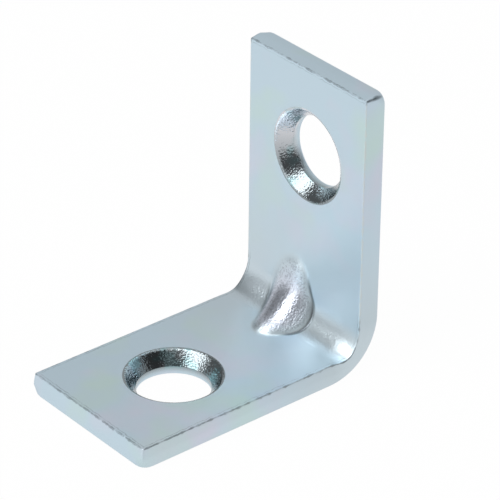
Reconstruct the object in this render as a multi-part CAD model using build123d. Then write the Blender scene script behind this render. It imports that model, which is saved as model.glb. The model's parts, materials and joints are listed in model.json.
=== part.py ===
from build123d import *
import math
import os

# Small zinc-plated corner brace: one pressed strip of steel, folded to an L, with two
# countersunk holes and a stiffening rib pressed through the fold from the outside.
# Millimetres, +Z up. The base leg lies along -Y, the upright stands at the back and the
# width runs along X. The finished part's origin is the centre of the base hole on the
# underside; until the last step it is the middle of the heel, the corner outside the fold.

# The strip, each leg measured from the heel
width = 14.8
base_length = 25.0
upright_length = 25.95
thickness = 2.0

# The fold: flatter outside than inside, so the metal is a little thinner there
inner_bend_radius = 2.5
outer_bend_radius = 5.15

# The two holes, each sunk from the inner face for a countersunk screw; an offset is from the
# strip's middle
base_hole_from_heel = 16.05
base_hole_offset = 0.13
upright_hole_from_heel = 17.8
upright_hole_offset = 0.21
bore_radius = 3.15
bore_land = 0.8
sink_radius = 4.1
sink_rim_round = 0.5
bore_mouth_round = 0.25

# The sheared sides: rolled over at the outer face, most of all at the corners, square to the
# sheet for a short way, and leaning in over the rest to a nearly sharp edge at the inner face
outer_edge_round = 0.3
inner_edge_round = 0.08
corner_round = 0.25
corner_roll = 1.1
corner_roll_height = 0.9
square_height = 0.2
lean_height = thickness - corner_roll_height - square_height
lean_depth = 0.15

# The rib: its crest runs straight from the upright down to the base, and its left flank falls
# away softly where the right one is steep
rib_offset = -1.035
rib_top = 7.65
rib_reach = 6.45
rib_crest_width = 3.1
rib_left_draft = 25.0
rib_left_round = 3.5
rib_right_draft = 20.0
rib_right_round = 0.6
rib_foot_round = 0.4

# The punch's groove behind the rib: a V with a round nose, a wall's thickness below the crest
rib_wall = 1.3
groove_nose_radius = 0.7
groove_draft = 20.0
rib_mouth_round = 0.3

# How far a cutting body runs past the metal that it cuts
spare = 2.0

# How near to a depth in the sheet a face lies when it counts as lying there
nearness = 0.01


def folded_strip():
    """The L-shaped section, swept across the width."""
    section = Polygon(
        (-base_length, 0),
        (0, 0),
        (0, upright_length),
        (-thickness, upright_length),
        (-thickness, thickness),
        (-base_length, thickness),
        align=None,
    )
    heel = section.vertices().sort_by_distance((0, 0, 0))[0]
    section = fillet(heel, outer_bend_radius)
    crook = section.vertices().sort_by_distance((-thickness, thickness, 0))[0]
    section = fillet(crook, inner_bend_radius)
    return extrude(Plane.YZ * section, amount=width / 2, both=True)


def corner_loss(radius):
    """The outline outside a corner of this radius; the sharp corner is at the origin."""
    side = radius + spare
    outline = Pos(-radius, -radius) * Rectangle(side, side, align=Align.MIN)
    return outline - Pos(-radius, -radius) * Circle(radius)


def corner_cutter():
    """What one corner loses: z = 0 is the outer face, and the inner one is a thickness up."""
    middle = Pos(0, 0, corner_roll_height) * corner_loss(corner_round)
    roll = loft([corner_loss(corner_roll), middle], ruled=True)
    return roll + extrude(middle, amount=thickness)


def round_corners(strip):
    """The four free corners cut to their rolled-over shape."""
    base_end = Plane((width / 2, -base_length, 0), x_dir=(0, -1, 0), z_dir=(0, 0, 1))
    upright_end = Plane((width / 2, 0, upright_length), x_dir=(1, 0, 0), z_dir=(0, -1, 0))
    for end in (base_end, upright_end):
        cutter = end * corner_cutter()
        strip -= cutter
        strip -= mirror(cutter, about=Plane.YZ)
    return strip


def lean_sides(strip):
    """The upper part of the sheared sides leans in, all the way round the inner face."""
    end = strip.faces().filter_by(Axis.Y).sort_by(Axis.Y)[0]
    edge = end.edges().filter_by(Axis.X).sort_by(Axis.Z)[-1]
    return chamfer(edge, length=lean_height, length2=lean_depth, reference=end)


def rim(faces):
    """The edges that belong to only one of these faces."""
    edges = [edge for face in faces for edge in face.edges()]
    return ShapeList(edge for edge in edges if sum(edge.is_same(other) for other in edges) == 1)


def skin(strip, depth, bend_radius):
    """The faces of one side of the sheet: depth 0 is the outer side, the thickness the inner."""
    flats = [
        face
        for face in strip.faces().filter_by(GeomType.PLANE)
        if abs(face.center().Z - depth) < nearness or abs(face.center().Y + depth) < nearness
    ]
    bends = [
        face
        for face in strip.faces().filter_by(GeomType.CYLINDER)
        if abs(face.radius - bend_radius) < nearness
    ]
    return flats + bends


def sheared_strip():
    """The folded strip with its corners, sides and edges as the shears leave them."""
    strip = lean_sides(round_corners(folded_strip()))
    strip = fillet(rim(skin(strip, 0, outer_bend_radius)), outer_edge_round)
    return fillet(rim(skin(strip, thickness, inner_bend_radius)), inner_edge_round)


def rib_frame():
    """A plane square to the rib's crest, at its middle: x across the rib, y up out of the metal."""
    top = Vector(rib_offset, -thickness, rib_top)
    bottom = Vector(rib_offset, -rib_reach, thickness)
    return Plane((top + bottom) / 2, x_dir=(1, 0, 0), z_dir=bottom - top)


def spread(depth, draft):
    """How far a flank with this draft moves out over a depth."""
    return depth * math.tan(math.radians(draft))


def rib_section(root_depth):
    """The bulge across the rib: a level crest between its two flanks, cut off at root_depth."""
    half_crest = rib_crest_width / 2
    section = Polygon(
        (-half_crest, 0),
        (-half_crest - spread(root_depth, rib_left_draft), -root_depth),
        (half_crest + spread(root_depth, rib_right_draft), -root_depth),
        (half_crest, 0),
        align=None,
    )
    left, right = section.vertices().sort_by(Axis.Y)[-2:].sort_by(Axis.X)
    section = fillet(left, rib_left_round)
    right = section.vertices().sort_by_distance((half_crest, 0, 0))[0]
    return fillet(right, rib_right_round)


def groove_section(root_depth):
    """The punch's V: its nose lies a wall's thickness below the rib's crest."""
    slope = math.radians(groove_draft)
    apex = groove_nose_radius / math.sin(slope) - groove_nose_radius - rib_wall
    half_root = spread(apex + root_depth, groove_draft)
    section = Polygon((0, apex), (-half_root, -root_depth), (half_root, -root_depth), align=None)
    return fillet(section.vertices().sort_by(Axis.Y)[-1], groove_nose_radius)


def depth_under_crest(y, z):
    """How far a point of the section lies below the line of the rib's crest."""
    return -rib_frame().to_local_coords(Vector(rib_offset, y, z)).Y


def fold_middle(bend_radius, inset):
    """The middle of a fold's arc, as a point of the section; inset is its face's depth."""
    away = inset + bend_radius * (1 - math.sqrt(0.5))
    return -away, away


def pressed_rib():
    """The bulge on the inner side, with its ends and root buried in the metal."""
    inner = depth_under_crest(*fold_middle(inner_bend_radius, thickness))
    outer = depth_under_crest(*fold_middle(outer_bend_radius, 0))
    bar = extrude(
        rib_frame() * rib_section((inner + outer) / 2),
        amount=base_length,
        both=True,
    )
    side = base_length + upright_length
    room = Pos(0, -thickness / 2, thickness / 2) * Box(
        side, side, side, align=(Align.CENTER, Align.MAX, Align.MIN)
    )
    return bar & room


def punch_groove():
    """The dent that the punch leaves in the outside of the fold, a wall's thickness below the rib."""
    outer = depth_under_crest(*fold_middle(outer_bend_radius, 0))
    section = groove_section(outer + spare)
    return extrude(rib_frame() * section, amount=base_length, both=True)


def screw_hole():
    """A bore with a short straight land and a countersink; z = 0 is the outer face."""
    beyond = sink_radius + spare
    profile = Polygon(
        (0, -spare),
        (beyond, -spare),
        (beyond, 0),
        (bore_radius, 0),
        (bore_radius, bore_land),
        (sink_radius, thickness),
        (beyond, thickness),
        (beyond, thickness + spare),
        (0, thickness + spare),
        align=None,
    )
    mouth = profile.vertices().sort_by_distance((bore_radius, 0, 0))[0]
    profile = fillet(mouth, bore_mouth_round)
    edge = profile.vertices().sort_by_distance((sink_radius, thickness, 0))[0]
    profile = fillet(edge, sink_rim_round)
    return revolve(Plane.XZ * profile, Axis.Z)


strip = sheared_strip()

# The rib stands on the strip with a soft foot
rib = pressed_rib()
ribbed = strip + rib
foot = new_edges(strip, rib, combined=ribbed)
ribbed = fillet(foot, rib_foot_round)

# The punch's groove is open to the outside of the fold, with a soft mouth
groove = punch_groove()
grooved = ribbed - groove
mouth = new_edges(ribbed, groove, combined=grooved)
bracket = fillet(mouth, rib_mouth_round)

# One hole in the base and one in the upright, both sunk from the inner face
bracket -= Pos(base_hole_offset, -base_hole_from_heel, 0) * screw_hole()
bracket -= Pos(upright_hole_offset, 0, upright_hole_from_heel) * Rot(90, 0, 0) * screw_hole()

# From the heel to the base hole's centre, where the part is measured from
bracket = Pos(-base_hole_offset, base_hole_from_heel, 0) * bracket

os.makedirs("parts", exist_ok=True)
export_step(bracket, "parts/corner_bracket.step")
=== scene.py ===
# %% [markdown]
# A small L-bracket, also called a corner brace: one strip of sheet steel, pierced with two screw
# holes, folded square, pressed with a short rib through the fold, and zinc-plated.
# The solid model gives the size and the place of everything. This script gives the bracket the
# finished surface of the pressed, plated one, and a small studio to stand in.

# %% The frame
import json
import math

import bmesh
import bpy
import numpy as np
from mathutils import Matrix, Vector


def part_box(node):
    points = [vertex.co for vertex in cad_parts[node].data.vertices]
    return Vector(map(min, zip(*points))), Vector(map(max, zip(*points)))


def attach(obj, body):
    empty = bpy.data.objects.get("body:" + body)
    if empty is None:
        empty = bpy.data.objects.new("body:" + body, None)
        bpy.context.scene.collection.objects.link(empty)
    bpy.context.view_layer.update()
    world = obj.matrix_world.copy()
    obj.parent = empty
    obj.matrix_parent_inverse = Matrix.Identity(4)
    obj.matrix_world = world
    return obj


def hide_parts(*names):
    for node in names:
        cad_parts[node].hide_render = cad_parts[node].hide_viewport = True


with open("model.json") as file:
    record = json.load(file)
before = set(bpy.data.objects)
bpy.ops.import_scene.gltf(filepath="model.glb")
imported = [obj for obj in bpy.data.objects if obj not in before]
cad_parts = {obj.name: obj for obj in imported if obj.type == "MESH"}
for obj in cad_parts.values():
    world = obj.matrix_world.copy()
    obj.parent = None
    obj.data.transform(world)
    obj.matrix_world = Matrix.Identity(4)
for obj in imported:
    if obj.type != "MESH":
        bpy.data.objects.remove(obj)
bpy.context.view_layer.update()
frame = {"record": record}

low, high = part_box("corner_bracket")
MM = 0.001
print("bracket from", [round(v / MM, 2) for v in low], "to", [round(v / MM, 2) for v in high], "mm")

# %% [markdown]
# The sizes come first, in millimetres. What the solid model already knows is read from it: its box
# gives the width and the two legs, and each screw hole is a mount with a place and a radius. Only
# what the box and the mounts can't tell is written here. The heel is the corner outside the fold.

# %% Sizes in millimetres
heel = high.y / MM
half_width = (high.x - low.x) / 2 / MM
middle = (high.x + low.x) / 2 / MM
base_leg = heel - low.y / MM
upright_leg = high.z / MM
mounts = {mount["name"]: mount for mount in frame["record"]["mounts"]}
base_hole = Vector(mounts["base_hole"]["pos_m"]) / MM
upright_hole = Vector(mounts["upright_hole"]["pos_m"]) / MM
bore = mounts["base_hole"]["dims"]["r_mm"]

thickness = 2.0
inner_bend = 2.5
outer_bend = 5.15
print("width", round(2 * half_width, 2), "legs", round(base_leg, 2), round(upright_leg, 2))
print("bore radius", bore)

# %% [markdown]
# A press shears a flat blank before it folds it, and the mesh is made in the same order. Across the
# blank runs x, along it runs s with 0 at the fold's middle, and up runs the depth in the sheet: 0 is
# the face that ends up outside the fold, and the thickness is the inner face.
# The fold takes up a length of sheet that is measured a little inside its middle, as bent metal does.

# %% The flat blank's extent
NEUTRAL_LINE = 0.44
fold_length = math.pi / 2 * (inner_bend + NEUTRAL_LINE * thickness)
blank_start = -(base_leg - outer_bend) - fold_length / 2
blank_end = upright_leg - outer_bend + fold_length / 2
base_hole_s = -(heel - base_hole.y - outer_bend) - fold_length / 2
upright_hole_s = upright_hole.z - outer_bend + fold_length / 2
print("blank", round(blank_end - blank_start, 2), "mm long")
print("holes at s =", round(base_hole_s, 2), round(upright_hole_s, 2))

# %% [markdown]
# Two profiles run round the blank: the sheared side along its outline, and the wall of each screw
# hole. Both are a few straight runs with rounded corners, so one function softens the corners of any
# such path; a radius of 0 just keeps a point. The sheared side is rolled over where the shear went
# in, square for a short way, and leans in to a nearly sharp edge, the arris, on the inner face.

# %% Profiles with rounded corners
def softened(points, radii, steps):
    """A path of straight runs with each inner corner rounded to its radius, in that many steps."""
    path = [Vector(points[0])]
    for before, corner, after, radius, count in zip(points, points[1:], points[2:], radii, steps):
        corner = Vector(corner)
        if radius == 0:
            path.append(corner)
            continue
        back = (Vector(before) - corner).normalized()
        on = (Vector(after) - corner).normalized()
        half = back.angle(on) / 2
        centre = corner + (back + on).normalized() * radius / math.sin(half)
        start = corner + back * radius / math.tan(half) - centre
        end = corner + on * radius / math.tan(half) - centre
        path += [centre + start.slerp(end, k / count) * radius for k in range(count + 1)]
    return path + [Vector(points[-1])]


margin = 0.4
burr_reach = 0.2
lean_depth = 0.15
lean_height = 0.9
arris_round = 0.08
lean_round = 2.0
roll_round = 0.3
side_path = softened(
    [
        (lean_depth + margin, thickness),
        (lean_depth + burr_reach, thickness),
        (lean_depth, thickness),
        (lean_depth * (1 - burr_reach / lean_height), thickness - burr_reach),
        (0, thickness - lean_height),
        (0, 0),
        (2 * margin, 0),
    ],
    radii=[0, arris_round, 0, lean_round, roll_round],
    steps=[0, 4, 0, 3, 6],
)

sink = 4.1
land = 0.8
rim_round = 0.5
land_round = 0.06
mouth_round = 0.25
hole_path = softened(
    [(sink + 2 * margin, thickness), (sink, thickness), (bore, land), (bore, 0), (bore + 2 * margin, 0)],
    radii=[rim_round, land_round, mouth_round],
    steps=[8, 3, 6],
)
print("side profile", len(side_path), "points, hole profile", len(hole_path), "points")

# %% [markdown]
# The blank's two faces are grids of quads. Evenly spaced lines would waste most of them on the flats,
# so the lines crowd together where the shape changes: at the sheared edges, in the fold, where the
# rib will rise, and most of all in the crease at the rib's right foot. The spacing is a density,
# added up along the line and cut into equal parts.

# %% Grid lines
COARSE = 0.42
EDGE_STEP = 0.12
EDGE_REACH = 0.5
SAMPLES = 8001


def stations(start, end, fine):
    """Places from start to end in coarse steps, finer near each (place, step, reach)."""
    line = np.linspace(start, end, SAMPLES)
    density = np.full_like(line, 1 / COARSE)
    for place, step, reach in fine:
        density += (1 / step - 1 / COARSE) * np.exp(-(((line - place) / reach) ** 2))
    total = np.concatenate(([0], np.cumsum((density[1:] + density[:-1]) / 2 * np.diff(line))))
    return np.interp(np.linspace(0, total[-1], math.ceil(total[-1]) + 1), total, line)


rib_crest = -0.82
left_flank = rib_crest - middle - 0.9
right_foot = rib_crest - middle + 2.2
across = middle + stations(
    -half_width,
    half_width,
    fine=[
        (-half_width, EDGE_STEP, EDGE_REACH),
        (half_width, EDGE_STEP, EDGE_REACH),
        (left_flank, 0.14, 2.7),
        (right_foot, 0.07, 0.9),
    ],
)
along = stations(
    blank_start,
    blank_end,
    fine=[
        (blank_start, EDGE_STEP, EDGE_REACH),
        (blank_end, EDGE_STEP, EDGE_REACH),
        (0, 0.1, 4.0),
    ],
)
print(len(across), "lines across,", len(along), "along")

# %% [markdown]
# The outline is a rectangle with rounded corners. It shrinks and grows down the sheared side's
# profile, and its corners are rolled most at the outer face. One function places any point of the
# grid inside such an outline: it squeezes each square corner into a quarter disc.

# %% The outline
corner_round = 0.3
corner_roll = 1.1
corner_roll_height = 0.9
SHARPEST = 0.02


def in_outline(x, s, inset, depth):
    """Where the grid's point (x, s) lies in the outline at this inset and depth in the sheet."""
    rolled = max(0.0, 1 - depth / corner_roll_height)
    radius = max(corner_round + (corner_roll - corner_round) * rolled - inset, SHARPEST)
    centre = (blank_start + blank_end) / 2
    half_length = (blank_end - blank_start) / 2
    px = (x - middle) * (half_width - inset) / half_width
    ps = (s - centre) * (half_length - inset) / half_length
    core_x = min(max(px, inset + radius - half_width), half_width - inset - radius)
    core_s = min(max(ps, inset + radius - half_length), half_length - inset - radius)
    off_x, off_s = px - core_x, ps - core_s
    if off_x and off_s:
        squeeze = max(abs(off_x), abs(off_s)) / math.hypot(off_x, off_s)
        off_x, off_s = off_x * squeeze, off_s * squeeze
    return middle + core_x + off_x, centre + core_s + off_s, depth


# %% [markdown]
# Every patch of the blank is rows of points, and neighbouring patches share the points on their
# border, so the patches are laid side by side and the doubled points merged. Each row can be marked
# with what a tool did there, as named attributes that the material reads later: the cone of a
# countersink is "worked", the side is "sheared", and the arris carries the "burr".

# %% Laying patches
blank = bmesh.new()
layers = {name: blank.verts.layers.float.new(name) for name in ("worked", "sheared", "burr")}


def lay(rows, closed=False, marks=()):
    """Adds a patch of quads through rows of points; closed joins each row's end to its start."""
    grid = [[blank.verts.new(point) for point in row] for row in rows]
    for row, mark in zip(grid, marks):
        for name, value in mark.items():
            for vert in row:
                vert[layers[name]] = value
    for upper, lower in zip(grid, grid[1:]):
        pairs = list(zip(upper, lower))
        pairs += pairs[:1] if closed else []
        for (a, b), (c, d) in zip(pairs, pairs[1:]):
            blank.faces.new((a, b, d, c))


def border(left, right, start, end):
    """The grid's crossings round a window, in order, as (line across, line along)."""
    loop = [(i, start) for i in range(left, right)]
    loop += [(right, j) for j in range(start, end)]
    loop += [(i, end) for i in range(right, left, -1)]
    loop += [(left, j) for j in range(end, start, -1)]
    return loop


def face_point(i, j, inset, depth):
    """The grid's crossing of line i across and line j along, on a face of the sheet."""
    return in_outline(across[i], along[j], inset, depth)


# %% [markdown]
# Each face of the sheet is laid strip by strip, and a strip stops at the square window that is left
# round a screw hole, wide enough to clear the countersink's rim. The side then closes the gap between
# the two faces, all the way round. The burr fades away from the arris over the margin.

# %% The two faces and the side
WINDOW = 5.9
NEAR_FACE = 0.05
holes = [(base_hole.x, base_hole_s), (upright_hole.x, upright_hole_s)]
windows = []
for hole_x, hole_s in holes:
    left, right = (int(np.argmin(abs(across - hole_x - reach))) for reach in (-WINDOW, WINDOW))
    start, end = (int(np.argmin(abs(along - hole_s - reach))) for reach in (-WINDOW, WINDOW))
    windows.append((left, right, start, end))

for inset, depth in (side_path[0], side_path[-1]):
    for j in range(len(along) - 1):
        open_from = 0
        for left, right, start, end in windows:
            if start <= j < end:
                lay([[face_point(i, k, inset, depth) for i in range(left + 1)] for k in (j, j + 1)])
                open_from = right
        lay([[face_point(i, k, inset, depth) for i in range(open_from, len(across))] for k in (j, j + 1)])

arris = Vector((lean_depth, thickness))
side_marks = []
for inset, depth in side_path:
    on_side = float(NEAR_FACE < depth < thickness - NEAR_FACE)
    near_arris = max(0.0, 1 - math.dist((inset, depth), arris) / margin)
    side_marks.append({"sheared": on_side, "burr": near_arris})
all_round = border(0, len(across) - 1, 0, len(along) - 1)
lay(
    [[face_point(i, j, *point) for i, j in all_round] for point in side_path],
    closed=True,
    marks=side_marks,
)
print("faces and side:", len(blank.faces), "quads")

# %% [markdown]
# Rings turn each window from its square border into the hole's round rim, and then follow the hole's
# wall down through the sheet: the countersink, the short straight land, and the rounded mouth.

# %% The screw holes
RINGS = 7
UNDER_RIM = 0.01
wall_marks = [{"worked": float(land / 2 < depth < thickness - UNDER_RIM)} for radius, depth in hole_path]
for (hole_x, hole_s), window in zip(holes, windows):
    loop = border(*window)
    edges = []
    for point in (side_path[0], side_path[-1]):
        edges.append([Vector(face_point(i, j, *point)) for i, j in loop])
    turns = [math.atan2(point.y - hole_s, point.x - hole_x) for point in edges[0]]
    wall = []
    for radius, depth in hole_path:
        ring = [(hole_x + radius * math.cos(a), hole_s + radius * math.sin(a), depth) for a in turns]
        wall.append([Vector(point) for point in ring])
    lay(wall, closed=True, marks=wall_marks)
    for edge, rim in zip(edges, (wall[0], wall[-1])):
        lay([[a.lerp(b, k / RINGS) for a, b in zip(edge, rim)] for k in range(RINGS + 1)], closed=True)

# %% [markdown]
# Patches that meet have doubled points on their border. Merging them joins the patches to one closed
# skin, which is checked: every edge has to lie between two faces. The skin becomes the bracket's mesh.

# %% One closed skin
DOUBLED = 0.0005
bmesh.ops.remove_doubles(blank, verts=blank.verts, dist=DOUBLED)
bmesh.ops.recalc_face_normals(blank, faces=blank.faces)
open_edges = sum(1 for edge in blank.edges if len(edge.link_faces) != 2)
print("blank:", len(blank.faces), "quads, edges that aren't between two of them:", open_edges)

flat_mesh = bpy.data.meshes.new("bracket")
blank.to_mesh(flat_mesh)
blank.free()
bracket = bpy.data.objects.new("zinc_bracket", flat_mesh)
bpy.context.collection.objects.link(bracket)

# %% [markdown]
# Both the metal and the folding are node trees. One small function adds a node with its settings,
# and fills each input with a value or with a link from another node.

# %% Adding a node
def add(tree, kind, inputs, **settings):
    """Adds a node; an input is a value, a socket, or a node whose first output is linked."""
    node = tree.nodes.new(kind)
    for name, value in settings.items():
        setattr(node, name, value)
    for key, value in inputs.items():
        if isinstance(value, bpy.types.Node):
            value = value.outputs[0]
        if isinstance(value, bpy.types.NodeSocket):
            tree.links.new(value, node.inputs[key])
        else:
            node.inputs[key].default_value = value
    return node


def linear(code):
    """An sRGB hex colour as linear red, green, blue and an alpha of 1."""
    parts = [int(code[i : i + 2], 16) / 255 for i in (1, 3, 5)]
    return [p / 12.92 if p <= 0.04045 else ((p + 0.055) / 1.055) ** 2.4 for p in parts] + [1.0]


# %% [markdown]
# The metal is bright zinc plating with a thin clear-blue passivation, on rolled steel. Zinc is a
# pale blue-grey metal; the passivation's film is thinner than a wavelength of light, so it tints the
# plating in soft patches of lilac and green a few millimetres across. Two slow noises place them,
# and the second one is read elsewhere in the same noise, so that the patches don't coincide.

# %% Zinc: the tints of its film
zinc = bpy.data.materials.new("bright_zinc_plated_steel")
zinc.use_nodes = True
metal = zinc.node_tree
place = add(metal, "ShaderNodeTexCoord", {}).outputs["Object"]
PATCH = 6.0
ELSEWHERE = (0.04, 0.02, 0.07)
cloud = add(metal, "ShaderNodeTexNoise", {"Vector": place, "Scale": 1 / (PATCH * MM), "Detail": 2.0})
other = add(metal, "ShaderNodeVectorMath", {0: place, 1: ELSEWHERE})
other_cloud = add(metal, "ShaderNodeTexNoise", {"Vector": other, "Scale": 1 / (PATCH * MM), "Detail": 2.0})
lilac_share = add(metal, "ShaderNodeMapRange", {0: cloud, 1: 0.5, 2: 0.7, 3: 0.0, 4: 1.0})
green_share = add(metal, "ShaderNodeMapRange", {0: other_cloud, 1: 0.52, 2: 0.72, 3: 0.0, 4: 1.0})
blue = linear("#D0E3EE")
lilac = linear("#DBE0ED")
green = linear("#D1E6E5")
tinted = add(metal, "ShaderNodeMix", {0: lilac_share, 6: blue, 7: lilac}, data_type="RGBA")
tinted = add(metal, "ShaderNodeMix", {0: green_share, 6: tinted.outputs[2], 7: green}, data_type="RGBA")

# %% [markdown]
# Round the fold the film is greyer, and it takes some of the blue out of what the two legs mirror of
# each other there. The stain fades with the distance from the heel, but slower along the width.

# %% Zinc: the grey stain round the fold
STAIN_FULL = 6.0
STAIN_GONE = 14.0
slower = (0.4, 1.0, 1.0)
round_fold = add(metal, "ShaderNodeVectorMath", {0: place, 1: slower}, operation="MULTIPLY")
from_heel = {0: round_fold, 1: (0.0, heel * MM, 0.0)}
from_heel = add(metal, "ShaderNodeVectorMath", from_heel, operation="DISTANCE").outputs["Value"]
stain = {0: from_heel, 1: STAIN_FULL * MM, 2: STAIN_GONE * MM, 3: 0.9, 4: 0.0}
stain = add(metal, "ShaderNodeMapRange", stain)
grey = linear("#D1DEE5")
tinted = add(metal, "ShaderNodeMix", {0: stain, 6: tinted.outputs[2], 7: grey}, data_type="RGBA")

# %% [markdown]
# A countersink is cut into the sheet, and its zinc is more neutral than the blue of the flats. The
# passivation runs down while it dries: from the upright's hole downwards its film is thicker and
# darker, and in both countersinks it has turquoise spots where it pooled.

# %% Zinc: the film in the countersinks
POOL = 1.6
worked = add(metal, "ShaderNodeAttribute", {}, attribute_name="worked").outputs["Fac"]
spot = add(metal, "ShaderNodeSeparateXYZ", {0: place}).outputs
film_low = (upright_hole.z - 2.3) * MM
film_high = (upright_hole.z + 1.2) * MM
drained = add(metal, "ShaderNodeMapRange", {0: spot["Z"], 1: film_low, 2: film_high, 3: 0.0, 4: 1.0})
thick_film = linear("#98A1A5")
thin_film = linear("#DEDFE4")
turquoise = linear("#84B4BA")
cut = add(metal, "ShaderNodeMix", {0: drained, 6: thick_film, 7: thin_film}, data_type="RGBA")
pooled = add(metal, "ShaderNodeTexNoise", {"Vector": other, "Scale": 1 / (POOL * MM), "Detail": 1.0})
pooled = add(metal, "ShaderNodeMapRange", {0: pooled, 1: 0.52, 2: 0.62, 3: 0.0, 4: 0.4})
cut = add(metal, "ShaderNodeMix", {0: pooled, 6: cut.outputs[2], 7: turquoise}, data_type="RGBA")
tinted = add(metal, "ShaderNodeMix", {0: worked, 6: tinted.outputs[2], 7: cut.outputs[2]}, data_type="RGBA")

# %% [markdown]
# Where a tool squeezed or stretched the steel, its grain stands up under the plating: on the
# countersinks, on the rib, and half as much in the fold. The real grain is a few hundredths of a
# millimetre, too fine to show here, so it is drawn about four times as coarse. Its height goes to the
# bump node in metres, so that node's distance is 1.

# %% Zinc: the grain where it was worked
GRAIN = 0.17
FLAT_HEIGHT = 0.003
WORKED_HEIGHT = 0.036
IN_FOLD = 0.5
pressed = add(metal, "ShaderNodeAttribute", {}, attribute_name="pressed").outputs["Fac"]
bent = add(metal, "ShaderNodeAttribute", {}, attribute_name="bent").outputs["Fac"]
on_rib = add(metal, "ShaderNodeMapRange", {0: pressed, 1: 0.08, 2: 0.4, 3: 0.0, 4: 1.0})
in_bend = add(metal, "ShaderNodeMapRange", {0: bent, 1: 0.2, 2: 0.8, 3: 0.0, 4: 1.0})
half_bend = add(metal, "ShaderNodeMath", {0: in_bend, 1: IN_FOLD}, operation="MULTIPLY")
drawn = add(metal, "ShaderNodeMath", {0: on_rib, 1: half_bend}, operation="MAXIMUM")
strained = add(metal, "ShaderNodeMath", {0: worked, 1: drawn}, operation="MAXIMUM")
grain = add(metal, "ShaderNodeTexNoise", {"Vector": place, "Scale": 1 / (GRAIN * MM), "Detail": 1.0})
tall_grain = {0: strained, 1: 0.0, 2: 1.0, 3: FLAT_HEIGHT * MM, 4: WORKED_HEIGHT * MM}
tall_grain = add(metal, "ShaderNodeMapRange", tall_grain)
grain_height = add(metal, "ShaderNodeMath", {0: grain, 1: tall_grain}, operation="MULTIPLY")

# %% [markdown]
# The blue film is thin where the rib stands out most, and the zinc there is paler and more neutral.
# Painted shade darkens the valleys between the grains, and the sharp crease at the rib's right foot:
# both are dark greys laid over the tints.

# %% Zinc: the rib's thin film, and painted shade in its valleys and its crease
CREASE_SHADE_SHARE = 0.8
rubbed_off = add(metal, "ShaderNodeMapRange", {0: pressed, 1: 0.3, 2: 0.9, 3: 0.0, 4: 0.8})
bare_zinc = linear("#E1E6F3")
tinted = add(metal, "ShaderNodeMix", {0: rubbed_off, 6: tinted.outputs[2], 7: bare_zinc}, data_type="RGBA")
# Painted shade: a dark grey in the valleys between the grains on the rib.
valley_shade = add(metal, "ShaderNodeMapRange", {0: grain, 1: 0.38, 2: 0.5, 3: 0.3, 4: 0.0})
valley_shade = add(metal, "ShaderNodeMath", {0: valley_shade, 1: on_rib}, operation="MULTIPLY")
valley_shade_grey = linear("#565A6A")
tinted = add(metal, "ShaderNodeMix", {0: valley_shade, 6: tinted.outputs[2], 7: valley_shade_grey}, data_type="RGBA")
# Painted shade: a dark grey along the crease at the rib's right foot.
crease_shade = add(metal, "ShaderNodeAttribute", {}, attribute_name="crease").outputs["Fac"]
crease_shade = add(metal, "ShaderNodeMath", {0: crease_shade, 1: CREASE_SHADE_SHARE}, operation="MULTIPLY")
crease_shade_grey = linear("#3A4147")
tinted = add(metal, "ShaderNodeMix", {0: crease_shade, 6: tinted.outputs[2], 7: crease_shade_grey}, data_type="RGBA")

# %% [markdown]
# The shear leaves a burr along the arris, and tumbling before plating folds it flat. Painted shade
# draws a ragged dark line along it that comes and goes, with a second, fainter one where the burr ends
# on the inner face. The "burr" attribute is 1 on the arris and fades away; a noise shakes it, and so
# the lines, to and fro.

# %% Zinc: the burr's two lines of painted shade
BREAKS = 0.9
SHAKE = 0.5
SECOND_PLACE = 0.28
SECOND_WIDTH = 0.14
burr = add(metal, "ShaderNodeAttribute", {}, attribute_name="burr").outputs["Fac"]
sheared = add(metal, "ShaderNodeAttribute", {}, attribute_name="sheared").outputs["Fac"]
broken = add(metal, "ShaderNodeTexNoise", {"Vector": place, "Scale": 1 / (BREAKS * MM), "Detail": 4.0})
broken = add(metal, "ShaderNodeMapRange", {0: broken, 1: 0.36, 2: 0.52, 3: 0.25, 4: 1.0})
ragged = add(metal, "ShaderNodeTexNoise", {"Vector": place, "Scale": 1 / (SHAKE * MM), "Detail": 2.0})
ragged = add(metal, "ShaderNodeMapRange", {0: ragged, 1: 0.3, 2: 0.7, 3: -0.2, 4: 0.2})
at_edge = add(metal, "ShaderNodeMapRange", {0: burr, 1: 0.0, 2: 0.15, 3: 0.0, 4: 1.0})
ragged = add(metal, "ShaderNodeMath", {0: ragged, 1: at_edge}, operation="MULTIPLY")
burr = add(metal, "ShaderNodeMath", {0: burr, 1: ragged})
# Painted shade: the dark line along the arris, and the fainter second one beside it.
line = add(metal, "ShaderNodeMapRange", {0: burr, 1: 0.66, 2: 0.9, 3: 0.0, 4: 0.52})
second = add(metal, "ShaderNodeMath", {0: burr, 1: SECOND_PLACE}, operation="SUBTRACT")
second = add(metal, "ShaderNodeMath", {0: second}, operation="ABSOLUTE")
second = add(metal, "ShaderNodeMapRange", {0: second, 1: 0.0, 2: SECOND_WIDTH, 3: 0.4, 4: 0.0})
off_side = add(metal, "ShaderNodeMath", {0: 1.0, 1: sheared}, operation="SUBTRACT")
second = add(metal, "ShaderNodeMath", {0: second, 1: off_side}, operation="MULTIPLY")
painted_edge_shade = add(metal, "ShaderNodeMath", {0: line, 1: second}, operation="MAXIMUM")
painted_edge_shade = add(metal, "ShaderNodeMath", {0: painted_edge_shade, 1: broken}, operation="MULTIPLY")
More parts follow.
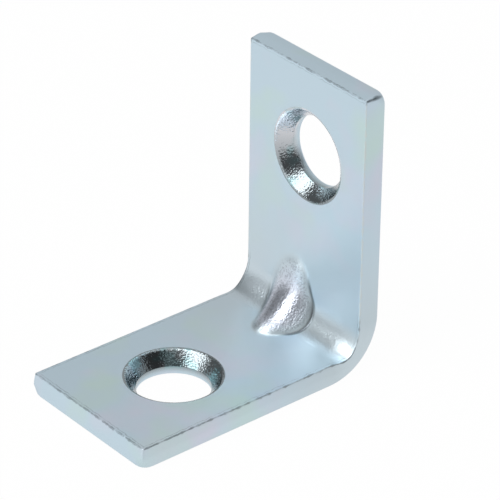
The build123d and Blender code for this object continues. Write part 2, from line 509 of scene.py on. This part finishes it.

# %% [markdown]
# On the upright's two sides a pale line of painted highlight takes the place of the painted shade.
# Only at the upright's top right corner, where the shear's two cuts met, the painted shade runs on as a
# dark line across the end.

# %% Zinc: where the edge's line is a painted highlight
top_zone = (upright_leg - 0.35) * MM
side_zone = high.x - 0.32 * MM
above_base = add(metal, "ShaderNodeMapRange", {0: spot["Z"], 1: 4.5 * MM, 2: 6.0 * MM, 3: 0.0, 4: 1.0})
under_top = {0: spot["Z"], 1: top_zone - 0.3 * MM, 2: top_zone, 3: 1.0, 4: 0.0}
under_top = add(metal, "ShaderNodeMapRange", under_top)
edge_highlit = add(metal, "ShaderNodeMath", {0: above_base, 1: under_top}, operation="MULTIPLY")
edge_shaded = add(metal, "ShaderNodeMath", {0: 1.0, 1: edge_highlit}, operation="SUBTRACT")
painted_edge_shade = add(metal, "ShaderNodeMath", {0: painted_edge_shade, 1: edge_shaded}, operation="MULTIPLY")
# Painted highlight: a pale line along the upright's two sides, where the edge catches the light.
painted_edge_highlight = add(metal, "ShaderNodeMath", {0: line, 1: edge_highlit}, operation="MULTIPLY")
at_side = {0: spot["X"], 1: side_zone, 2: side_zone + 0.15 * MM, 3: 0.0, 4: 0.6}
at_side = add(metal, "ShaderNodeMapRange", at_side)
at_end = {0: spot["Z"], 1: top_zone, 2: top_zone + 0.15 * MM, 3: 0.0, 4: 1.0}
at_end = add(metal, "ShaderNodeMapRange", at_end)
corner = add(metal, "ShaderNodeMath", {0: at_side, 1: at_end}, operation="MULTIPLY")
corner = add(metal, "ShaderNodeMath", {0: corner, 1: broken}, operation="MULTIPLY")
painted_edge_shade = add(metal, "ShaderNodeMath", {0: painted_edge_shade, 1: corner}, operation="MAXIMUM")
# Painted shade and painted highlight on the edges: a dark grey for their shade, a pale zinc for their
# highlight.
edge_shade_grey = linear("#4E5A60")
edge_highlight_zinc = linear("#DCDFDC")
tinted = add(metal, "ShaderNodeMix", {0: painted_edge_shade, 6: tinted.outputs[2], 7: edge_shade_grey}, data_type="RGBA")
tinted = add(metal, "ShaderNodeMix", {0: painted_edge_highlight, 6: tinted.outputs[2], 7: edge_highlight_zinc}, data_type="RGBA")

# %% [markdown]
# Rolled sheet is satin, and a tool that rubs it leaves it smoother and glossier: the flats are rough
# and show only a glow, while the countersinks mirror the studio in hard bands of black and white. The
# fold is less glossy. The punch rubbed the rib where it pressed hardest, in the fold, but low on the
# right flank it tore the metal, which is rough there. The rib's two ends are nearly as dull as the
# sheet. All of this makes one gloss, and a gloss of 1 takes 0.25 off the sheet's roughness.

# %% Zinc: its gloss, and the shader
SMOOTHING = 0.25
CUT_GLOSS = 1.4
satin = add(metal, "ShaderNodeMapRange", {0: cloud, 1: 0.3, 2: 0.7, 3: 0.42, 4: 0.47})
torn = add(metal, "ShaderNodeMapRange", {0: spot["Z"], 1: 4.8 * MM, 2: 6.3 * MM, 3: -0.2, 4: 0.6})
rubbed = add(metal, "ShaderNodeMapRange", {0: spot["X"], 1: 0.0, 2: 1.0 * MM, 3: 0.65, 4: torn})
pressed_hard = add(metal, "ShaderNodeMapRange", {0: bent, 1: 0.0, 2: 0.5, 3: 0.3, 4: 1.0})
rubbed = add(metal, "ShaderNodeMath", {0: rubbed, 1: pressed_hard}, operation="MULTIPLY")
gloss = add(metal, "ShaderNodeMix", {0: on_rib, 2: half_bend, 3: rubbed})
cut_gloss = add(metal, "ShaderNodeMath", {0: worked, 1: CUT_GLOSS}, operation="MULTIPLY")
gloss = add(metal, "ShaderNodeMath", {0: cut_gloss, 1: gloss}, operation="MAXIMUM")
gloss = add(metal, "ShaderNodeMath", {0: gloss, 1: SMOOTHING}, operation="MULTIPLY")
rough = add(metal, "ShaderNodeMath", {0: satin, 1: gloss}, operation="SUBTRACT")
bump = add(metal, "ShaderNodeBump", {"Height": grain_height, "Strength": 1.0, "Distance": 1.0})
shader = metal.nodes["Principled BSDF"]
shader.inputs["Metallic"].default_value = 1.0
metal.links.new(tinted.outputs[2], shader.inputs["Base Color"])
metal.links.new(rough.outputs[0], shader.inputs["Roughness"])
metal.links.new(bump.outputs[0], shader.inputs["Normal"])
print("zinc:", len(metal.nodes), "nodes")

# %% [markdown]
# Folding is a rule that holds for every point of the sheet, so Geometry Nodes do it: a point keeps
# its x, its s gives how far round the fold it lies, and its depth gives where it lies between the
# outer face and the inner one. The tree works in millimetres and its inputs are the sizes.

# %% The fold: round the outer face's centre
fold = bpy.data.node_groups.new("fold and press", "GeometryNodeTree")
fold.interface.new_socket("Geometry", in_out="INPUT", socket_type="NodeSocketGeometry")
fold.interface.new_socket("Geometry", in_out="OUTPUT", socket_type="NodeSocketGeometry")
sizes = {
    "Thickness": thickness,
    "Inner bend": inner_bend,
    "Outer bend": outer_bend,
    "Fold length": fold_length,
    "Middle": middle,
    "Half width": half_width,
    "Near end curl": 0.26,
    "Far end curl": 0.1,
    "Edge swell": 0.13,
    "Rib top": 7.65,
    "Rib reach": 6.45,
    "Crest": rib_crest,
    "Left round": 3.7,
    "Left round to base": -1.7,
    "Left limit": 0.985,
    "Right round": 1.95,
    "Right limit": 0.6,
    "Height": 0.5,
    "Height to base": 0.1,
    "Foot": 0.18,
    "Soft": 0.2,
    "Crease": 0.05,
    "Rib wall": 1.3,
    "Dent middle": -1.15,
    "Dent fall": 0.55,
    "Dent soft": 0.6,
}
for name in sizes:
    fold.interface.new_socket(name, in_out="INPUT", socket_type="NodeSocketFloat")
given = fold.nodes.new("NodeGroupInput").outputs
flat = add(fold, "ShaderNodeSeparateXYZ", {0: add(fold, "GeometryNodeInputPosition", {})}).outputs
half_fold = add(fold, "ShaderNodeMath", {0: given["Fold length"], 1: 0.5}, operation="MULTIPLY")
minus_half = add(fold, "ShaderNodeMath", {0: half_fold, 1: -1.0}, operation="MULTIPLY")
angle = add(fold, "ShaderNodeMapRange", {0: flat["Y"], 1: minus_half, 2: half_fold, 3: 0.0, 4: math.pi / 2})
sine = add(fold, "ShaderNodeMath", {0: angle}, operation="SINE")
cosine = add(fold, "ShaderNodeMath", {0: angle}, operation="COSINE")
most = add(fold, "ShaderNodeMath", {0: sine, 1: cosine}, operation="MAXIMUM")
least = add(fold, "ShaderNodeMath", {0: sine, 1: cosine}, operation="MINIMUM")
over_base = add(fold, "ShaderNodeMath", {0: flat["Y"], 1: half_fold}, operation="ADD")
over_base = add(fold, "ShaderNodeMath", {0: over_base, 1: 0.0}, operation="MINIMUM")
over_upright = add(fold, "ShaderNodeMath", {0: flat["Y"], 1: half_fold}, operation="SUBTRACT")
over_upright = add(fold, "ShaderNodeMath", {0: over_upright, 1: 0.0}, operation="MAXIMUM")

# %% [markdown]
# The inner face bends round a centre of its own, nearer to the corner. Seen from the outer bend's
# centre it is straight at first and then an arc, so its distance is found as where a line at the
# point's angle meets that straight or that arc.

# %% The fold: out to the inner face
to_flat = add(fold, "ShaderNodeMath", {0: given["Outer bend"], 1: given["Thickness"]}, operation="SUBTRACT")
between = add(fold, "ShaderNodeMath", {0: to_flat, 1: given["Inner bend"]}, operation="SUBTRACT")
straight = add(fold, "ShaderNodeMath", {0: to_flat, 1: most}, operation="DIVIDE")
both = add(fold, "ShaderNodeMath", {0: sine, 1: cosine}, operation="ADD")
reach = add(fold, "ShaderNodeMath", {0: between, 1: both}, operation="MULTIPLY")
reach_squared = add(fold, "ShaderNodeMath", {0: reach, 1: 2.0}, operation="POWER")
bend_squared = add(fold, "ShaderNodeMath", {0: given["Inner bend"], 1: 2.0}, operation="POWER")
between_squared = add(fold, "ShaderNodeMath", {0: between, 1: 2.0}, operation="POWER")
square = {0: between_squared, 1: -2.0, 2: bend_squared}
square = add(fold, "ShaderNodeMath", square, operation="MULTIPLY_ADD")
square = add(fold, "ShaderNodeMath", {0: square, 1: reach_squared}, operation="ADD")
arc = add(fold, "ShaderNodeMath", {0: reach, 1: add(fold, "ShaderNodeMath", {0: square}, operation="SQRT")})
slant = add(fold, "ShaderNodeMath", {0: least, 1: most}, operation="DIVIDE")
tangent = add(fold, "ShaderNodeMath", {0: between, 1: to_flat}, operation="DIVIDE")
on_arc = add(fold, "ShaderNodeMath", {0: slant, 1: tangent}, operation="GREATER_THAN")
to_inner = add(fold, "ShaderNodeMix", {0: on_arc, 2: straight, 3: arc})

share = add(fold, "ShaderNodeMath", {0: flat["Z"], 1: given["Thickness"]}, operation="DIVIDE")
distance = add(fold, "ShaderNodeMix", {0: share, 2: given["Outer bend"], 3: to_inner}, clamp_factor=False)
folded_y = add(fold, "ShaderNodeMath", {0: distance, 1: sine, 2: over_base}, operation="MULTIPLY_ADD")
folded_y = add(fold, "ShaderNodeMath", {0: folded_y, 1: given["Outer bend"]}, operation="SUBTRACT")
drop = add(fold, "ShaderNodeMath", {0: distance, 1: cosine}, operation="MULTIPLY")
folded_z = add(fold, "ShaderNodeMath", {0: given["Outer bend"], 1: drop}, operation="SUBTRACT")
folded_z = add(fold, "ShaderNodeMath", {0: folded_z, 1: over_upright}, operation="ADD")
folded = add(fold, "ShaderNodeCombineXYZ", {0: flat["X"], 1: folded_y, 2: folded_z})
print("fold:", len(fold.nodes), "nodes")

# %% [markdown]
# Bending squeezes the inner face, and the squeezed metal escapes at the two ends of the fold: the
# edge there swells sideways, and the face curls away, most of all low down. It is a small thing, but
# the curled end mirrors another part of the studio than the rest of the fold does, and so it shines.

# %% The fold: its ends
NEAR_END_FROM = 0.7
FAR_END_FROM = -0.62
diagonal = (0, -math.sqrt(0.5), math.sqrt(0.5))
bend_share = add(fold, "ShaderNodeMath", {0: sine, 1: cosine}, operation="MULTIPLY")
bend_share = add(fold, "ShaderNodeMath", {0: bend_share, 1: 2.0}, operation="MULTIPLY")
squeeze = add(fold, "ShaderNodeMath", {0: bend_share, 1: bend_share}, operation="MULTIPLY")
squeeze = add(fold, "ShaderNodeMath", {0: squeeze, 1: share}, operation="MULTIPLY")
off_middle = add(fold, "ShaderNodeMath", {0: flat["X"], 1: given["Middle"]}, operation="SUBTRACT")
off_middle = add(fold, "ShaderNodeMath", {0: off_middle, 1: given["Half width"]}, operation="DIVIDE")
near_end = add(fold, "ShaderNodeMapRange", {0: off_middle, 1: NEAR_END_FROM, 2: 1.0, 3: 0.0, 4: 1.0})
near_end = add(fold, "ShaderNodeMath", {0: near_end, 1: 2.0}, operation="POWER")
far_end = add(fold, "ShaderNodeMapRange", {0: off_middle, 1: FAR_END_FROM, 2: -1.0, 3: 0.0, 4: 1.0})
far_end = add(fold, "ShaderNodeMath", {0: far_end, 1: 2.0}, operation="POWER")
curl = add(fold, "ShaderNodeMath", {0: near_end, 1: given["Near end curl"]}, operation="MULTIPLY")
curl = {0: far_end, 1: given["Far end curl"], 2: curl}
curl = add(fold, "ShaderNodeMath", curl, operation="MULTIPLY_ADD")
low_down = add(fold, "ShaderNodeMath", {0: cosine, 1: 4.0}, operation="POWER")
low_down = add(fold, "ShaderNodeMath", {0: low_down, 1: 4.0}, operation="MULTIPLY")
curl = add(fold, "ShaderNodeMath", {0: curl, 1: low_down}, operation="MULTIPLY")
curl = add(fold, "ShaderNodeMath", {0: curl, 1: squeeze}, operation="MULTIPLY")
swell = add(fold, "ShaderNodeMath", {0: near_end, 1: far_end}, operation="SUBTRACT")
swell = add(fold, "ShaderNodeMath", {0: swell, 1: given["Edge swell"]}, operation="MULTIPLY")
swell = add(fold, "ShaderNodeMath", {0: swell, 1: squeeze}, operation="MULTIPLY")
leaning = {0: share, 1: 1 - lean_height / thickness, 2: 1.0, 3: 0.0, 4: 1.0}
leaning = add(fold, "ShaderNodeMapRange", leaning)
swell = add(fold, "ShaderNodeMath", {0: swell, 1: leaning}, operation="MULTIPLY")
sideways = add(fold, "ShaderNodeCombineXYZ", {0: swell})

# %% [markdown]
# The rib is pressed after the fold: a punch pushes the metal inwards along the corner's diagonal. A
# straight line from the rib's top on the upright to its end on the base, the chord, tells how deep
# each point of the sheet lies under it. The deepest point is the fold's middle.

# %% The rib: depth under its chord
rise = add(fold, "ShaderNodeMath", {0: given["Rib top"], 1: given["Thickness"]}, operation="SUBTRACT")
run = add(fold, "ShaderNodeMath", {0: given["Rib reach"], 1: given["Thickness"]}, operation="SUBTRACT")
minus_rise = add(fold, "ShaderNodeMath", {0: rise, 1: -1.0}, operation="MULTIPLY")
out_of_chord = add(fold, "ShaderNodeCombineXYZ", {1: minus_rise, 2: run})
out_of_chord = add(fold, "ShaderNodeVectorMath", {0: out_of_chord}, operation="NORMALIZE")
minus_thickness = add(fold, "ShaderNodeMath", {0: given["Thickness"], 1: -1.0}, operation="MULTIPLY")
chord_top = add(fold, "ShaderNodeCombineXYZ", {1: minus_thickness, 2: given["Rib top"]})
under = add(fold, "ShaderNodeVectorMath", {0: chord_top, 1: folded}, operation="SUBTRACT")
under = add(fold, "ShaderNodeVectorMath", {0: under, 1: out_of_chord}, operation="DOT_PRODUCT")
facing = add(fold, "ShaderNodeVectorMath", {0: out_of_chord, 1: diagonal}, operation="DOT_PRODUCT")
under = {0: under.outputs["Value"], 1: facing.outputs["Value"]}
under = add(fold, "ShaderNodeMath", under, operation="DIVIDE")

# %% [markdown]
# The metal didn't reach the chord. Along the crest it rose by about half of its depth under it, a
# little more near the base, and with a small step at the rib's start. So the rib is low at both of
# its ends, and stands highest in the fold.

# %% The rib: how high its crest stands
twist = add(fold, "ShaderNodeMath", {0: cosine, 1: sine}, operation="SUBTRACT")
tall = {0: twist, 1: given["Height to base"], 2: given["Height"]}
tall = add(fold, "ShaderNodeMath", tall, operation="MULTIPLY_ADD")
tall = add(fold, "ShaderNodeMath", {0: tall, 1: under}, operation="MULTIPLY")
begun = {0: under, 1: -0.3, 2: 0.8, 3: 0.0, 4: 1.0}
begun = add(fold, "ShaderNodeMapRange", begun, interpolation_type="SMOOTHSTEP")
tall = add(fold, "ShaderNodeMath", {0: begun, 1: given["Foot"], 2: tall}, operation="MULTIPLY_ADD")

# %% [markdown]
# Across the rib the surface falls away from the crest along a circle's arc. The left arc is wide, and
# wider still near the upright. The right one is tight and runs out into a straight flank: past a
# limit, as a share of its radius, an arc goes on at the slope that it has reached.

# %% The rib: its section
aside = add(fold, "ShaderNodeMath", {0: flat["X"], 1: given["Crest"]}, operation="SUBTRACT")
to_right = add(fold, "ShaderNodeMath", {0: aside, 1: 0.0}, operation="GREATER_THAN")
left_round = {0: twist, 1: given["Left round to base"], 2: given["Left round"]}
left_round = add(fold, "ShaderNodeMath", left_round, operation="MULTIPLY_ADD")
round_off = add(fold, "ShaderNodeMix", {0: to_right, 2: left_round, 3: given["Right round"]})
out = add(fold, "ShaderNodeMath", {0: aside, 1: round_off}, operation="DIVIDE")
out = add(fold, "ShaderNodeMath", {0: out}, operation="ABSOLUTE")
limit = add(fold, "ShaderNodeMix", {0: to_right, 2: given["Left limit"], 3: given["Right limit"]})
past = add(fold, "ShaderNodeMath", {0: out, 1: limit}, operation="SUBTRACT")
past = add(fold, "ShaderNodeMath", {0: past, 1: 0.0}, operation="MAXIMUM")
out = add(fold, "ShaderNodeMath", {0: out, 1: limit}, operation="MINIMUM")
out = add(fold, "ShaderNodeMath", {0: out, 1: out}, operation="MULTIPLY")
level = add(fold, "ShaderNodeMath", {0: 1.0, 1: out}, operation="SUBTRACT")
level = add(fold, "ShaderNodeMath", {0: level}, operation="SQRT")
fall = add(fold, "ShaderNodeMath", {0: 1.0, 1: level}, operation="SUBTRACT")
slope = add(fold, "ShaderNodeMath", {0: limit, 1: level}, operation="DIVIDE")
fall = add(fold, "ShaderNodeMath", {0: past, 1: slope, 2: fall}, operation="MULTIPLY_ADD")
fall = add(fold, "ShaderNodeMath", {0: fall, 1: round_off}, operation="MULTIPLY")

# %% [markdown]
# A smooth maximum with nothing blends the bulge into the sheet: softly on the left and at both ends,
# and sharply along the right flank, where it leaves a crease. The crease is kept for the metal, which
# paints shade along it.
# The ranges are millimetres: right of the crest, under the chord, and above or below the crease.

# %% The rib: pushed into the sheet
height = add(fold, "ShaderNodeMath", {0: tall, 1: fall}, operation="SUBTRACT")
on_right = add(fold, "ShaderNodeMapRange", {0: aside, 1: 0.8, 2: 1.4, 3: 0.0, 4: 1.0})
deep = add(fold, "ShaderNodeMapRange", {0: under, 1: 0.7, 2: 1.4, 3: 0.0, 4: 1.0})
creased = add(fold, "ShaderNodeMath", {0: on_right, 1: deep}, operation="MULTIPLY")
softness = add(fold, "ShaderNodeMix", {0: creased, 2: given["Soft"], 3: given["Crease"]})
bulge = add(fold, "ShaderNodeMath", {0: height, 1: 0.0, 2: softness}, operation="SMOOTH_MAX")
off_foot = add(fold, "ShaderNodeMath", {0: height}, operation="ABSOLUTE")
crease = add(fold, "ShaderNodeMapRange", {0: off_foot, 1: 0.04, 2: 0.16, 3: 1.0, 4: 0.0})
crease = add(fold, "ShaderNodeMath", {0: crease, 1: creased}, operation="MULTIPLY")

# %% [markdown]
# Behind the rib the punch leaves its dent in the outer face, which follows the chord at a wall's
# thickness and falls away to both sides. Between the two faces the push is shared by depth.

# %% The rib: the dent behind it
behind = add(fold, "ShaderNodeMath", {0: flat["X"], 1: given["Dent middle"]}, operation="SUBTRACT")
behind = add(fold, "ShaderNodeMath", {0: behind, 1: behind}, operation="MULTIPLY")
behind = {0: behind, 1: given["Dent fall"], 2: given["Rib wall"]}
behind = add(fold, "ShaderNodeMath", behind, operation="MULTIPLY_ADD")
dent = add(fold, "ShaderNodeMath", {0: under, 1: behind}, operation="SUBTRACT")
dent = add(fold, "ShaderNodeMath", {0: dent, 1: 0.0, 2: given["Dent soft"]}, operation="SMOOTH_MAX")
pushed = add(fold, "ShaderNodeMix", {0: share, 2: dent, 3: bulge})
pushed = add(fold, "ShaderNodeMath", {0: pushed, 1: curl}, operation="SUBTRACT")
push = add(fold, "ShaderNodeVectorMath", {0: diagonal, "Scale": pushed}, operation="SCALE")
moved = add(fold, "ShaderNodeVectorMath", {0: folded, 1: push})
moved = add(fold, "ShaderNodeVectorMath", {0: moved, 1: sideways})
moved = add(fold, "ShaderNodeVectorMath", {0: moved, 1: (0, heel, 0)})
moved = add(fold, "ShaderNodeVectorMath", {0: moved, "Scale": MM}, operation="SCALE")
print("fold and rib:", len(fold.nodes), "nodes")

# %% [markdown]
# The tree ends by keeping three things for the metal to read: how far the rib was pressed out, how
# much of the bend a point took, and the crease. The rib's two belong to the inner face, and fade to
# nothing at the outer one. Then the points move, in metres, and the mesh gets its material. Realize
# Instances comes first, because an export would drop an instance. The result is turned into a plain
# mesh, and the modifier goes.

# %% Folding and pressing the blank
pressed_out = add(fold, "ShaderNodeMath", {0: bulge, 1: share}, operation="MULTIPLY")
crease = add(fold, "ShaderNodeMath", {0: crease, 1: share}, operation="MULTIPLY")
steps = {0: given["Geometry"], "Name": "pressed", "Value": pressed_out}
steps = add(fold, "GeometryNodeStoreNamedAttribute", steps)
steps = add(fold, "GeometryNodeStoreNamedAttribute", {0: steps, "Name": "bent", "Value": bend_share})
steps = add(fold, "GeometryNodeStoreNamedAttribute", {0: steps, "Name": "crease", "Value": crease})
steps = add(fold, "GeometryNodeSetPosition", {0: steps, "Position": moved})
steps = add(fold, "GeometryNodeSetShadeSmooth", {0: steps})
steps = add(fold, "GeometryNodeRealizeInstances", {0: steps})
steps = add(fold, "GeometryNodeSetMaterial", {0: steps, "Material": zinc})
add(fold, "NodeGroupOutput", {0: steps})

press = bracket.modifiers.new("fold and press", "NODES")
press.node_group = fold
for socket in fold.interface.items_tree:
    if socket.in_out == "INPUT" and socket.name in sizes:
        press[socket.identifier] = sizes[socket.name]
depsgraph = bpy.context.evaluated_depsgraph_get()
folded_mesh = bpy.data.meshes.new_from_object(bracket.evaluated_get(depsgraph))
bracket.modifiers.remove(press)
bracket.data = folded_mesh
triangles = sum(len(polygon.vertices) - 2 for polygon in folded_mesh.polygons)
print("bracket:", triangles, "triangles, materials", [material.name for material in folded_mesh.materials])

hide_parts("corner_bracket")
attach(bracket, "root")

# %% [markdown]
# The bracket stands on white card. The camera and the metal see the card as a plain white glow, a
# little dimmer for the metal, and for all other rays it is ordinary card. A small share of ordinary
# card stays for the camera as well, so that the card still takes the bracket's shadow.

# %% The floor
FLOOR_REACH = 0.6
METAL_SEES = 0.87
GLOW_SHARE = 0.98
floor_bm = bmesh.new()
bmesh.ops.create_grid(floor_bm, x_segments=1, y_segments=1, size=FLOOR_REACH)
floor_mesh = bpy.data.meshes.new("floor")
floor_bm.to_mesh(floor_mesh)
floor_bm.free()
floor = bpy.data.objects.new("floor", floor_mesh)
bpy.context.collection.objects.link(floor)

paper = bpy.data.materials.new("white_card")
paper.use_nodes = True
tree = paper.node_tree
card = tree.nodes["Principled BSDF"]
card.inputs["Base Color"].default_value = linear("#F8F8F8")
card.inputs["Roughness"].default_value = 0.9
glow = add(tree, "ShaderNodeEmission", {"Color": linear("#FFFFFF")})
rays = add(tree, "ShaderNodeLightPath", {})
bright = add(tree, "ShaderNodeMix", {0: rays.outputs["Is Camera Ray"], 2: METAL_SEES, 3: 1.0})
tree.links.new(bright.outputs[0], glow.inputs["Strength"])
seen = {0: rays.outputs["Is Camera Ray"], 1: rays.outputs["Is Glossy Ray"]}
seen = add(tree, "ShaderNodeMath", seen, operation="MAXIMUM")
seen = add(tree, "ShaderNodeMath", {0: seen, 1: GLOW_SHARE}, operation="MULTIPLY")
mixed = add(tree, "ShaderNodeMixShader", {0: seen, 1: card, 2: glow})
tree.links.new(mixed.outputs[0], tree.nodes["Material Output"].inputs["Surface"])
floor.data.materials.append(paper)

# %% [markdown]
# Bare metal shows what stands round it more than it shows itself, so the studio is laid out for its
# reflections. A wide softbox hangs in front, a little to the left. Directions are given as on a
# compass: 0 is out in front of the bracket, 90 to its right, and then the height above the floor.

# %% The softbox
def toward(azimuth, elevation):
    """The unit vector to a place in the sky."""
    a, e = math.radians(azimuth), math.radians(elevation)
    return Vector((math.sin(a) * math.cos(e), -math.cos(a) * math.cos(e), math.sin(e)))


SOFTBOX_DISTANCE = 0.6
softbox_place = toward(-14, 52)
softbox_data = bpy.data.lights.new("softbox", "AREA")
softbox_data.shape = "RECTANGLE"
softbox_data.size = 0.44
softbox_data.size_y = 0.54
softbox_data.energy = 2.0
softbox = bpy.data.objects.new("softbox", softbox_data)
bpy.context.collection.objects.link(softbox)
softbox.location = (low + high) / 2 + softbox_place * SOFTBOX_DISTANCE
softbox.rotation_mode = "QUATERNION"
softbox.rotation_quaternion = softbox_place.to_track_quat("Z", "Y")

# %% [markdown]
# The rest of the room is evenly grey, with soft discs in the sky. Three dark screens give the metal
# its blacks: one behind the camera, one to the right, and a large one on the left. Two glows brighten
# what faces up or out in front. Each disc is a direction, the angle that it fills, the angle where it
# has faded out, and what it multiplies the room by. The camera itself sees a plain white background.

# %% The room
world = bpy.data.worlds.new("studio")
bpy.context.scene.world = world
world.use_nodes = True
tree = world.node_tree
direction = add(tree, "ShaderNodeTexCoord", {}).outputs["Generated"]
discs = (
    (toward(46, 26), 16, 28, 0.24),
    (toward(108, 39), 20, 34, 0.1),
    (toward(-70, 26), 26, 34, 0.34),
    (toward(-12, 11), 10, 20, 2.6),
    (toward(0, 90), 16, 26, 1.8),
)
ROOM_LEVEL = 0.6
level = ROOM_LEVEL
for disc_place, inner, outer, factor in discs:
    near = add(tree, "ShaderNodeVectorMath", {0: direction, 1: disc_place}, operation="DOT_PRODUCT")
    disc = {0: near.outputs["Value"], 1: math.cos(math.radians(outer)), 2: math.cos(math.radians(inner))}
    disc = add(tree, "ShaderNodeMapRange", {**disc, 3: 1.0, 4: factor}, interpolation_type="SMOOTHSTEP")
    level = add(tree, "ShaderNodeMath", {0: disc, 1: level}, operation="MULTIPLY")
rays = add(tree, "ShaderNodeLightPath", {})
strength = add(tree, "ShaderNodeMix", {0: rays.outputs["Is Camera Ray"], 2: level, 3: 1.0})
sky = tree.nodes["Background"]
sky.inputs["Color"].default_value = linear("#FFFFFF")
tree.links.new(strength.outputs[0], sky.inputs["Strength"])

# %% [markdown]
# The camera stands about a quarter of a metre away, to the right and above, with a long lens, and is
# turned very slightly about its own axis. All this was worked out from where the bracket's corners
# and holes lie in the photograph.

# %% The camera
aim = Vector((2.134, heel - 9.785, 12.624)) * MM
back = toward(49.90, 30.60)
camera_distance = 265.87 * MM
roll = math.radians(0.72)
level_right = Vector((0, 0, 1)).cross(back).normalized()
above = back.cross(level_right)
right = level_right * math.cos(roll) + above * math.sin(roll)
up = above * math.cos(roll) - level_right * math.sin(roll)
camera = bpy.data.objects.new("camera", bpy.data.cameras.new("camera"))
bpy.context.collection.objects.link(camera)
camera.data.sensor_width = 36
camera.data.lens = 234.72
camera.data.clip_start = 0.01
camera.data.clip_end = 10
turned = Matrix((right, up, back)).transposed().to_4x4()
camera.matrix_world = Matrix.Translation(aim + back * camera_distance) @ turned
bpy.context.scene.camera = camera
print("camera at", [round(v / MM) for v in camera.matrix_world.translation], "mm")

# %% [markdown]
# The view transform stays plain, so that a colour renders as it is written.

# %% Finishing
bpy.context.scene.view_settings.view_transform = "Standard"
